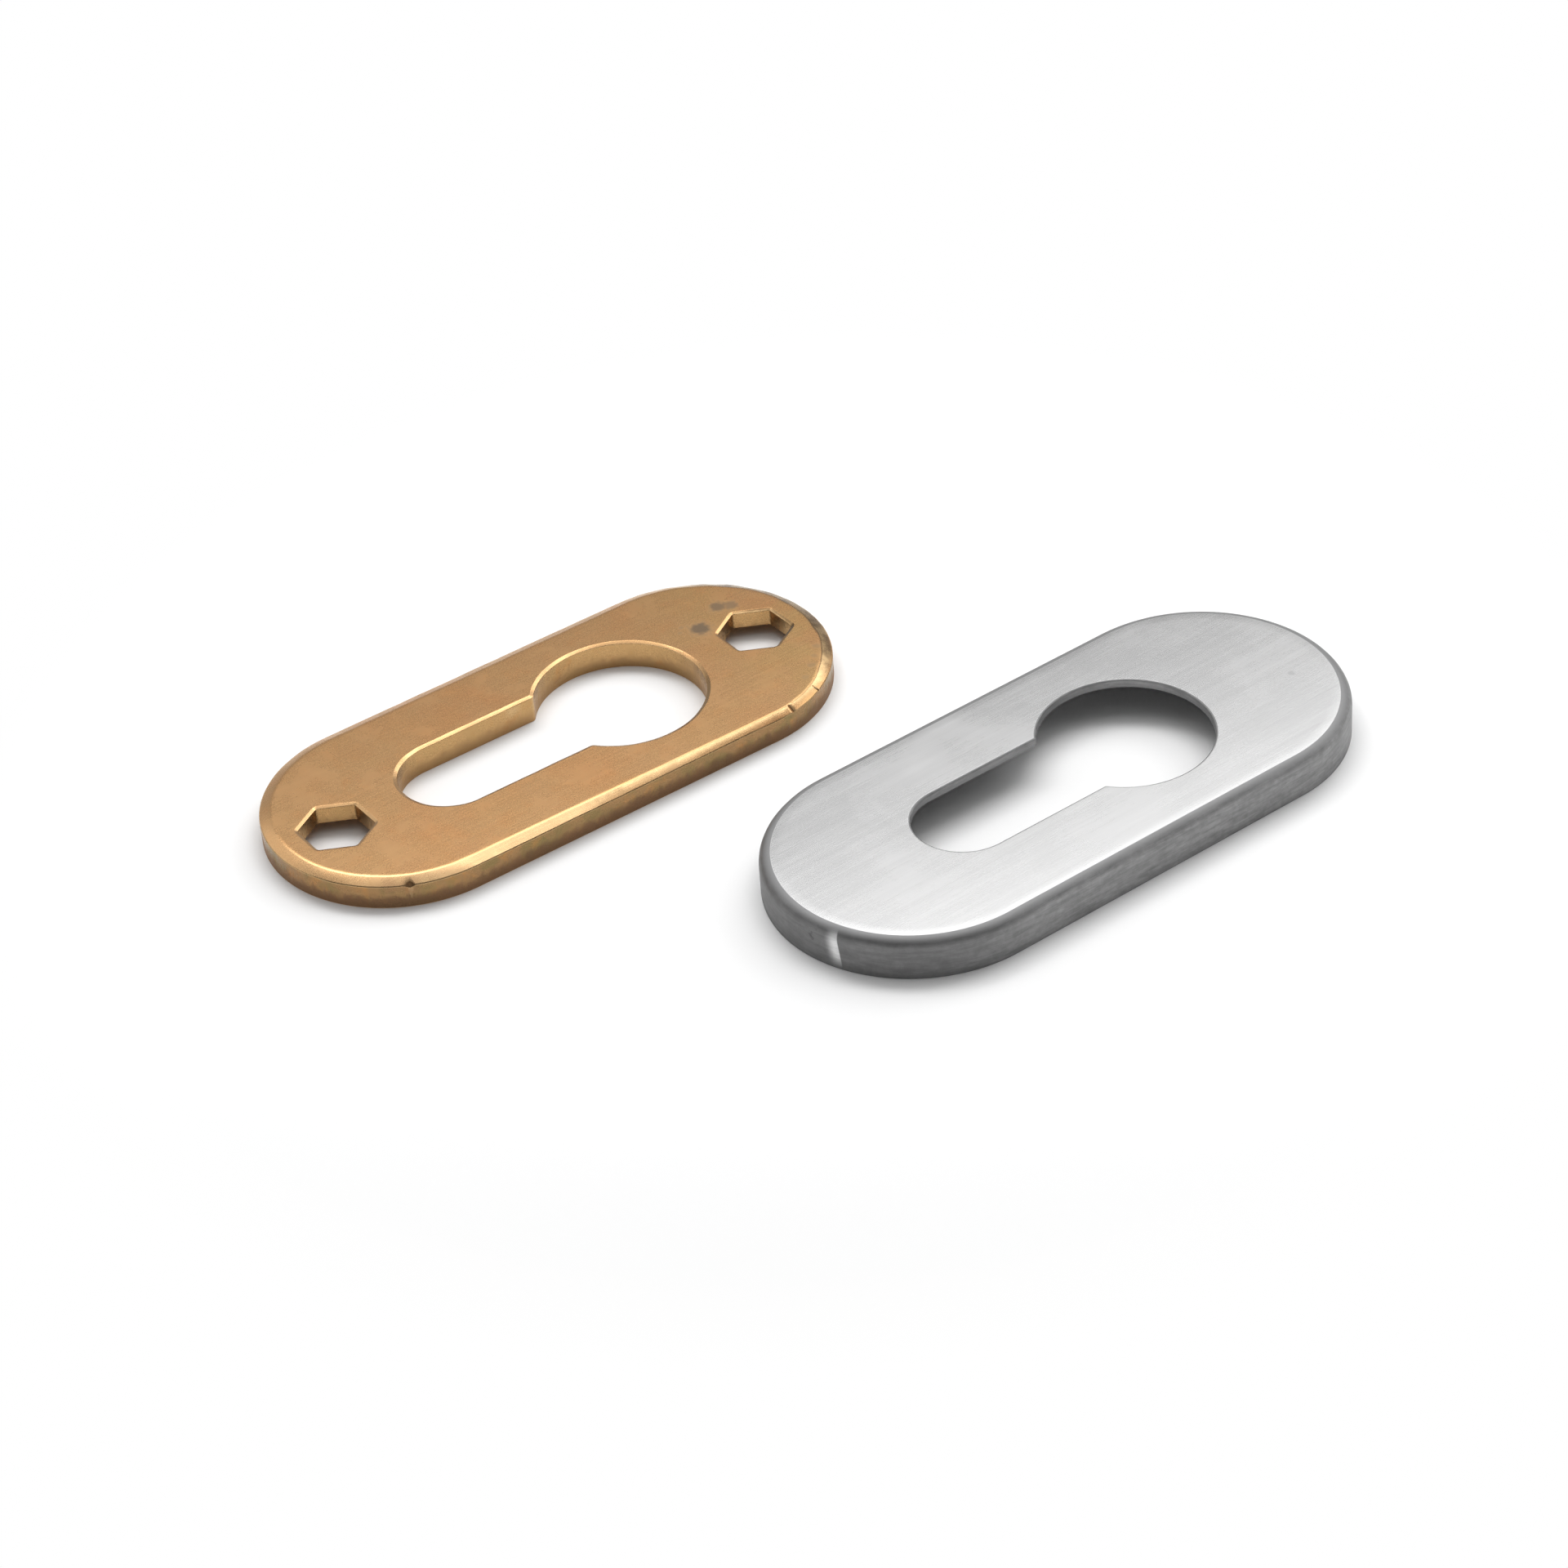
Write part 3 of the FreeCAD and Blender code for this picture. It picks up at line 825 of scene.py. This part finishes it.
# Each stain on the face: where its middle is, its radius, and how dark it is.
STAINS = [
    (21.0, 3.7, 1.55, 0.98), (24.6, 5.8, 1.25, 0.90), (25.8, 5.1, 1.05, 0.80),
    (19.6, 5.2, 0.42, 0.50), (19.0, 4.5, 0.38, 0.46), (28.1, -6.6, 0.60, 0.50),
    (26.9, -7.8, 0.48, 0.46), (25.7, -8.9, 0.60, 0.50), (24.0, -10.2, 0.55, 0.45),
]
# Painted shade in the nick at the foot, and a darker patch beside it: the same four values.
NICK_DARKENING = [(-24.4, -12.1, 1.25, 0.42), (-26.1, -11.1, 1.20, 0.32)]


# %% The brass material
def cut_edge(tree, place, wall, inside):
    """The colour and the tear of a wall that a press cut: smooth above, torn below."""
    strokes = use(tree, streaks_group, place, stretch=(1.1, 1.1, 0.6), detail=4.0)
    olive = use(tree, blotches_group, place, size=2.4, low=0.42, high=0.66, seed=11.0)
    orange = use(tree, blotches_group, place, size=2.0, low=0.52, high=0.72, seed=23.0)
    level = times_plus(tree, strokes, 1.8, 0.2)
    torn = from_to(tree, calc(tree, "SUBTRACT", axis(tree, place, "Z"), level), 0.75, -0.45)
    torn = times(tree, torn, times_plus(tree, inside, -0.65, 1.0))
    # Painted shade: the wall's colour is darker than the face's.
    colour = tinted(tree, blend(tree, olive, SHADED_CUT_BROWN, SHADED_CUT_OLIVE),
                    (inside, 0.8, CUT_INSIDE), (orange, 0.6, CUT_ORANGE), (torn, 0.75, TORN_AND_SHADE))
    return colour, times(tree, torn, wall), strokes


def rolled_face(tree, place, grain, rolled, brown, along):
    """The colour of the plate's face, which gets yellower and browner towards the head."""
    at_head = from_to(tree, along, 14.0, 29.0)
    warm = use(tree, blotches_group, place, size=9.0, low=0.42, high=0.72, seed=2.0)
    olive = use(tree, blotches_group, place, size=6.0, low=0.36, high=0.62, seed=15.0)
    orange = use(tree, blotches_group, place, size=2.3, low=0.48, high=0.74, seed=31.0)
    return tinted(
        tree, blend(tree, warm, BRASS, BRASS_WARM),
        (olive, times_plus(tree, at_head, 0.60, 0.15), BRASS_YELLOW),
        (brown, times_plus(tree, at_head, 0.10, 0.35), BRASS_BROWN),
        (orange, 0.45, BRASS_ORANGE),
        (from_to(tree, grain, 0.45, 0.75), 0.11, BRASS_BROWN),
        (from_to(tree, rolled, 0.35, 0.75), 0.16, BRASS_BROWN))


def bevel_tone(tree, place, inside, along):
    """The bevel's painted shade, and how far it covers the face's colour: most on the near side and the
    head.
    """
    bevel_shade = blend(tree, from_to(tree, along, -6.0, 22.0), BRASS_BEVEL_SHADE, BRASS_BEVEL_HEAD_SHADE)
    bevel_shade = blend(tree, from_to(tree, along, 24.0, 27.5), bevel_shade, BRASS_BEVEL_END_SHADE)
    near_side = from_to(tree, axis(tree, place, "Y"), 8.0, -8.0, 0.15, 0.88)
    near_side = times(tree, near_side, from_to(tree, along, -29.0, -22.0, 0.65, 1.0))
    shade_amount = calc(tree, "MAXIMUM", from_to(tree, along, 20.0, 28.0, 0.0, 0.90),
                times(tree, inside, 0.45))
    return bevel_shade, calc(tree, "MAXIMUM", near_side, shade_amount)


def make_brass():
    material, tree, shader, place = new_metal("stained_brass", plate_middle, plate_turn)
    flat = upright(tree, 0.55, 0.85)
    wall = calc(tree, "SUBTRACT", 1.0, flat)
    along = axis(tree, place, "X")
    inside = use(
        tree, inside_group, place, reach=plate_reach / MM, end=plate_end / MM, band=1.6)
    rolled = use(tree, streaks_group, place, stretch=(0.07, 3.2, 3.2), detail=4.0)
    grain = use(tree, streaks_group, place, stretch=(5.0, 9.0, 9.0), detail=5.0)
    brown = use(tree, blotches_group, place, size=3.4, low=0.46, high=0.78, seed=7.0)
    colour = rolled_face(tree, place, grain, rolled, brown, along)

    stained = 0.0
    for x, y, radius, depth in STAINS:
        mark = use(tree, mark_group, place, middle=(x, y, 3.0), radius=radius, raggedness=0.5)
        stained = calc(tree, "MAXIMUM", stained, times(tree, mark, depth))
    colour = tinted(tree, colour, (stained, flat, STAIN))
    # Painted shade on the bevel, most on the near side and towards the head.
    bevel_shade, shade_amount = bevel_tone(tree, place, inside, along)
    colour = tinted(tree, colour, (sloping(tree), shade_amount, bevel_shade))
    cut_colour, torn, strokes = cut_edge(tree, place, wall, inside)
    colour = blend(tree, wall, colour, cut_colour)
    edge = add(tree, "ShaderNodeAttribute", attribute_name="edge").outputs["Fac"]
    # Bright along the convex edges: wear, partly a painted highlight.
    worn_and_highlit = use(tree, wear_and_highlight_group, place, edge=edge, amount=0.5)
    colour = blend(tree, worn_and_highlit, colour, BRASS_WORN_AND_HIGHLIT)
    # Painted shade in the nick at the foot, and darker beside it.
    for x, y, radius, depth in NICK_DARKENING:
        nick_dark = use(tree, mark_group, place, middle=(x, y, 2.5), radius=radius, raggedness=0.35)
        colour = tinted(tree, colour, (nick_dark, depth, TORN_AND_SHADE))
    feed(tree, shader.inputs["Base Color"], colour)

    set_roughness(tree, shader, 0.22, (grain, 0.10), (brown, 0.05), (torn, 0.22), (stained, 0.2))
    bumps(tree, shader,
          (rolled, 0.016 * MM, 0.4), (grain, 0.006 * MM, 0.5),
          (times(tree, strokes, wall), 0.10 * MM, 0.5),
          (times(tree, calc(tree, "ADD", grain, strokes), torn), 0.14 * MM, 0.8))
    return material


brass = make_brass()

# %% [markdown]
# ## Brushed stainless steel
#
# The cover's face is brushed along its length on a belt.  The streaks are long and very fine:
# most are thinner than a pixel and only dull the reflection, and a few broader ones show as
# faint bands.  The wall's streaks follow it round, and the wall is painted darker than the face:
# painted shade, more so at the foot end.  The bend is duller, and painted darker too: painted
# shade that cancels its highlight, and so is the inside of the shell.  A painted highlight runs
# down the wall near the foot, with dark specks beside it.

# %% Values of the steel
STEEL = (0.520, 0.519, 0.519)
STEEL_DARK = (0.490, 0.489, 0.489)
STEEL_BRIGHT = (0.78, 0.78, 0.78)
# The bend's colour is painted shade, darker than the face, that cancels the bend's highlight.
BEND_SHADE = (0.250, 0.250, 0.251)
# The wall's two tones are painted darker than the face: painted shade, with the wall's streaks between
# them.
WALL_SHADE_LIGHT = (0.350, 0.349, 0.349)
WALL_SHADE_DARK = (0.250, 0.250, 0.250)
# The inside of the shell is painted darker: painted shade.
INSIDE_SHADE = (0.270, 0.270, 0.272)
# A painted highlight on the wall near the foot, and the angle round the foot end at which it stands.
PAINTED_HIGHLIGHT = (0.95, 0.95, 0.95)
HIGHLIGHT_ANGLE = 201.5
# Dark specks and marks; this colour also paints the shade at the wall's foot end.
SPECK_AND_SHADE = (0.10, 0.10, 0.10)


# %% The steel material
def highlight_streak(tree, place, wall):
    """A painted highlight that runs down the wall at the foot, with one soft side and one crisp one."""
    angle = radians(HIGHLIGHT_ANGLE)
    middle = (cos(angle) * cover_end / MM - cover_reach / MM, sin(angle) * cover_end / MM, 2.4)
    away = calc_vector(tree, "SUBTRACT", place, middle)
    along = calc_vector(tree, "DOT_PRODUCT", away, (-sin(angle), cos(angle), 0.14))
    sides = times(tree, from_to(tree, along, -1.5, -0.2), from_to(tree, along, 0.22, 0.08))
    near = from_to(tree, calc_vector(tree, "LENGTH", away), 2.5, 0.5)
    return times(tree, times(tree, sides, wall), near)


def make_steel():
    material, tree, shader, place = new_metal("brushed_steel", cover_middle, 0.0)
    flat = upright(tree, 0.62, 0.95)
    bent = calc(tree, "SUBTRACT", 1.0, upright(tree, 0.994, 0.99998))
    wall = calc(tree, "SUBTRACT", 1.0, flat)
    bands = use(tree, streaks_group, place, stretch=(0.03, 1.1, 1.1), detail=5.0)
    hairs = use(tree, streaks_group, place, stretch=(0.16, 14.0, 14.0), detail=3.0)
    round_bands = use(tree, streaks_group, place, stretch=(0.30, 0.30, 2.2), detail=5.0)
    round_hairs = use(tree, streaks_group, place, stretch=(0.5, 0.5, 16.0), detail=3.0)
    smears = use(tree, blotches_group, place, size=12.0, low=0.40, high=0.75, seed=4.0)

    dot = use(tree, mark_group, place, middle=(26.9, -3.6, 4.3), radius=0.45, raggedness=0.3)
    face_colour = tinted(
        tree, blend(tree, from_to(tree, bands, 0.30, 0.70), STEEL_DARK, STEEL),
        (from_to(tree, hairs, 0.45, 0.80), 0.10, STEEL_BRIGHT), (dot, 0.20, SPECK_AND_SHADE))
    # Painted shade: the wall gets darker towards the foot end.
    foot_end_shade = from_to(tree, axis(tree, place, "X"), -13.0, -27.0)
    mottle = use(tree, blotches_group, place, size=0.7, low=0.35, high=0.65, seed=13.0)
    specks = use(tree, blotches_group, place, size=0.8, low=0.58, high=0.70, seed=9.0)
    beside = use(tree, mark_group, place, middle=(-32.3, -2.5, 3.2), radius=2.2, raggedness=0.4)
    # Painted shade: the wall's colour is darker than the face's, with streaks that follow it round.
    wall_colour = tinted(
        tree, blend(tree, from_to(tree, round_bands, 0.30, 0.70), WALL_SHADE_DARK, WALL_SHADE_LIGHT),
        (from_to(tree, round_hairs, 0.42, 0.75), 0.12, STEEL_BRIGHT), (foot_end_shade, 0.50, SPECK_AND_SHADE),
        (mottle, 0.22, SPECK_AND_SHADE), (times(tree, specks, beside), 0.7, SPECK_AND_SHADE))
    # Painted shade on the bend, which cancels its highlight.
    colour = blend(tree, wall, blend(tree, bent, face_colour, BEND_SHADE), wall_colour)
    # Painted shade on the inside of the shell.
    inside = use(
        tree, inside_group, place, reach=cover_reach / MM, end=cover_end / MM, band=0.6)
    under = from_to(tree, axis(tree, place, "Z"), 3.95, 3.55)
    # A painted highlight down the wall at the foot.
    highlight = times(tree, highlight_streak(tree, place, wall), times_plus(tree, round_bands, 1.0, 0.45))
    colour = tinted(tree, colour, (inside, under, INSIDE_SHADE), (highlight, 0.85, PAINTED_HIGHLIGHT))
    feed(tree, shader.inputs["Base Color"], colour)

    hair = calc(tree, "ADD", times(tree, hairs, flat), times(tree, round_hairs, wall))
    band = calc(tree, "ADD", times(tree, bands, flat), times(tree, round_bands, wall))
    set_roughness(tree, shader, 0.22, (hair, 0.08), (smears, 0.05), (bent, 0.26),
                  (times(tree, bent, flat), 0.12), (highlight, 0.2))
    bumps(tree, shader, (band, 0.006 * MM, 0.08), (hair, 0.003 * MM, 0.14))
    return material


steel = make_steel()

# %% [markdown]
# ## Make the two pieces
#
# With both trees and both metals ready, each piece is one call.  Each one stands for the packed
# solid of the same size, so it sits where that one does.

# %% The two pieces
plate = grow(
    "fixing_plate_brass", plate_tree, plate_middle, plate_turn, end_radius=plate_end,
    reach=plate_reach, height=plate_height, keyhole_radius=bore("plate_keyhole"),
    keyhole_place=(spot("plate_keyhole") - plate_middle).length, hole_spacing=hole_spacing,
    recess_radius=bore("head_recess"), material=brass)
cover = grow(
    "cover_steel", cover_tree, cover_middle, 0.0, end_radius=cover_end, reach=cover_reach,
    height=cover_height, keyhole_radius=bore("cover_keyhole"),
    keyhole_place=(spot("cover_keyhole") - cover_middle).length, material=steel)
for piece, node, slot in ((plate, "fixing_plate", "brass"), (cover, "cover", "steel")):
    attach(piece, "root")
    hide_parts(node)

# %% [markdown]
# ## Floor, light and camera
#
# Both pieces lie on plain white.  The floor is white by its own colour, so it keeps the soft
# shadows, and well away from the pieces the camera and the metal see it as plain white.
#
# Metal shows what it reflects, so the light matters more than the colours: a wide softbox hangs
# high behind the pieces, with a dimmer one below it and one above it, and a panel stands on
# each side.  The room is pale near the horizon and dim above, mostly in front.  The camera sees
# it as white.
#
# From below, the floor is clear, so that the undersides can be looked at too.  The light for
# them crosses it right where they rest on it, which no other view shows.

# %% The floor
FLOOR_SIZE = 8.0
# The floor lies a hair below the pieces, so that it never shows through them.
FLOOR_GAP = 0.01 * MM
# The distances from the middle between which the shaded paper turns into plain white.
WHITE_FROM = (58 * MM, 84 * MM)


def make_floor():
    material = bpy.data.materials.new("white_floor")
    material.use_nodes = True
    tree = material.node_tree
    tree.nodes.clear()
    coordinates = tree.nodes.new("ShaderNodeTexCoord")
    mottle = add(tree, "ShaderNodeTexNoise", {"Vector": coordinates.outputs["Object"], "Scale": 9.0})
    tone = blend(tree, mottle, (0.955, 0.955, 0.955), (0.965, 0.965, 0.965))
    paper = add(tree, "ShaderNodeBsdfDiffuse", {"Color": tone})
    away = calc_vector(tree, "LENGTH", coordinates.outputs["Object"])
    ray = tree.nodes.new("ShaderNodeLightPath").outputs
    seen = calc(tree, "MAXIMUM", ray["Is Camera Ray"], ray["Is Glossy Ray"])
    seen = calc(tree, "MAXIMUM", seen, ray["Is Transmission Ray"])
    white = add(tree, "ShaderNodeEmission", {"Color": (1.0, 1.0, 1.0, 1.0), "Strength": 1.0})
    surface = add(tree, "ShaderNodeMixShader", {
        0: times(tree, from_to(tree, away, *WHITE_FROM), seen), 1: paper, 2: white})
    backface = tree.nodes.new("ShaderNodeNewGeometry").outputs["Backfacing"]
    touching = times(tree, calc(tree, "LESS_THAN", ray["Ray Length"], 2 * FLOOR_GAP),
                     calc(tree, "SUBTRACT", 1.0, ray["Is Camera Ray"]))
    clear = tree.nodes.new("ShaderNodeBsdfTransparent")
    seen_through = add(tree, "ShaderNodeMixShader", {
        0: calc(tree, "MAXIMUM", backface, touching), 1: surface, 2: clear})
    add(tree, "ShaderNodeOutputMaterial", {"Surface": seen_through})
    mesh = bpy.data.meshes.new("floor")
    half = FLOOR_SIZE / 2
    corners = [(-half, -half), (half, -half), (half, half), (-half, half)]
    mesh.from_pydata([(x, y, -FLOOR_GAP) for x, y in corners], [], [(0, 1, 2, 3)])
    mesh.materials.append(material)
    return new_object("floor", mesh)


floor = make_floor()

# %% The camera
LENS_MM, SENSOR_MM = 101.56, 36.0
AIM = Vector((-2.93, 0.58, 0.0)) * MM
DISTANCE = 433.9 * MM
AZIMUTH, ELEVATION, ROLL = radians(-35.05), radians(36.65), radians(-4.45)


def make_camera():
    """A camera on the line that the photograph was taken along."""
    data = bpy.data.cameras.new("camera")
    data.lens, data.sensor_width = LENS_MM, SENSOR_MM
    data.clip_start, data.clip_end = 0.01, 100.0
    camera = new_object("camera", data)
    back = Vector((sin(AZIMUTH) * cos(ELEVATION), -cos(AZIMUTH) * cos(ELEVATION), sin(ELEVATION)))
    camera.location = AIM + back * DISTANCE
    turn = back.to_track_quat("Z", "Y").to_matrix().to_4x4() @ Matrix.Rotation(ROLL, 4, "Z")
    camera.rotation_euler = turn.to_euler()
    bpy.context.scene.camera = camera
    return back


back = make_camera()

# %% Light
AWAY = Vector((-back.x, -back.y, 0.0)).normalized()
# Each lamp: its angle over the horizon on the far side of the pieces, its angle to the side, how
# far its right end is turned down, its size in metres, and its brightness.
LAMP_DISTANCE = 0.45
LAMPS = {
    "softbox": (66.0, 3.0, 0.0, (0.52, 0.13), 5.0),
    "below_softbox": (49.4, 6.0, 22.7, (0.62, 0.13), 2.3),
    "above_softbox": (84.0, 0.0, 0.0, (0.46, 0.16), 1.1),
    "right_panel": (58.0, 44.0, 0.0, (0.46, 0.15), 1.8),
    "left_panel": (60.0, -46.0, 0.0, (0.34, 0.22), 0.9),
}
# The room's brightness by the height that it is seen at, from the horizon to overhead.
ROOM_BEHIND = [(0.0, 0.74), (0.45, 0.44), (0.80, 0.30)]
ROOM_IN_FRONT = [(0.0, 1.15), (0.24, 0.95), (0.42, 0.10), (0.70, 0.10), (0.90, 0.34)]


def make_lamps():
    side = AWAY.cross(Vector((0.0, 0.0, 1.0)))
    for name, (height, aside, turned, size, brightness) in LAMPS.items():
        data = bpy.data.lights.new(name, "AREA")
        data.shape, data.size, data.size_y = "RECTANGLE", *size
        data.energy = brightness * pi * size[0] * size[1]
        lamp = new_object(name, data)
        direction = AWAY * cos(radians(height)) + Vector((0.0, 0.0, sin(radians(height))))
        direction = direction * cos(radians(aside)) + side * sin(radians(aside))
        lamp.location = direction * LAMP_DISTANCE
        level = direction.to_track_quat("Z", "Y").to_matrix().to_4x4()
        lamp.rotation_euler = (level @ Matrix.Rotation(radians(turned), 4, "Z")).to_euler()


def room_tone(tree, height, steps):
    """A grey for each height, blended between the steps."""
    tone = add(tree, "ShaderNodeValToRGB", {"Fac": height})
    stops = tone.color_ramp.elements
    while len(stops) < len(steps):
        stops.new(0.5)
    for stop, (position, grey) in zip(stops, steps):
        stop.position, stop.color = position, (grey, grey, grey, 1.0)
    return tone.outputs["Color"]


def make_world():
    world = bpy.data.worlds.new("pale_room")
    bpy.context.scene.world = world
    world.use_nodes = True
    tree = world.node_tree
    direction = tree.nodes.new("ShaderNodeTexCoord").outputs["Generated"]
    height = axis(tree, direction, "Z")
    behind = calc_vector(tree, "DOT_PRODUCT", direction, AWAY)
    room = blend(tree, from_to(tree, behind, -0.45, 0.45),
                 room_tone(tree, height, ROOM_IN_FRONT), room_tone(tree, height, ROOM_BEHIND))
    seen = tree.nodes.new("ShaderNodeLightPath").outputs["Is Camera Ray"]
    shown = blend(tree, seen, room, (1.0, 1.0, 1.0))
    feed(tree, tree.nodes["Background"].inputs["Color"], shown)


make_lamps()
make_world()
bpy.context.scene.view_settings.view_transform = "Standard"
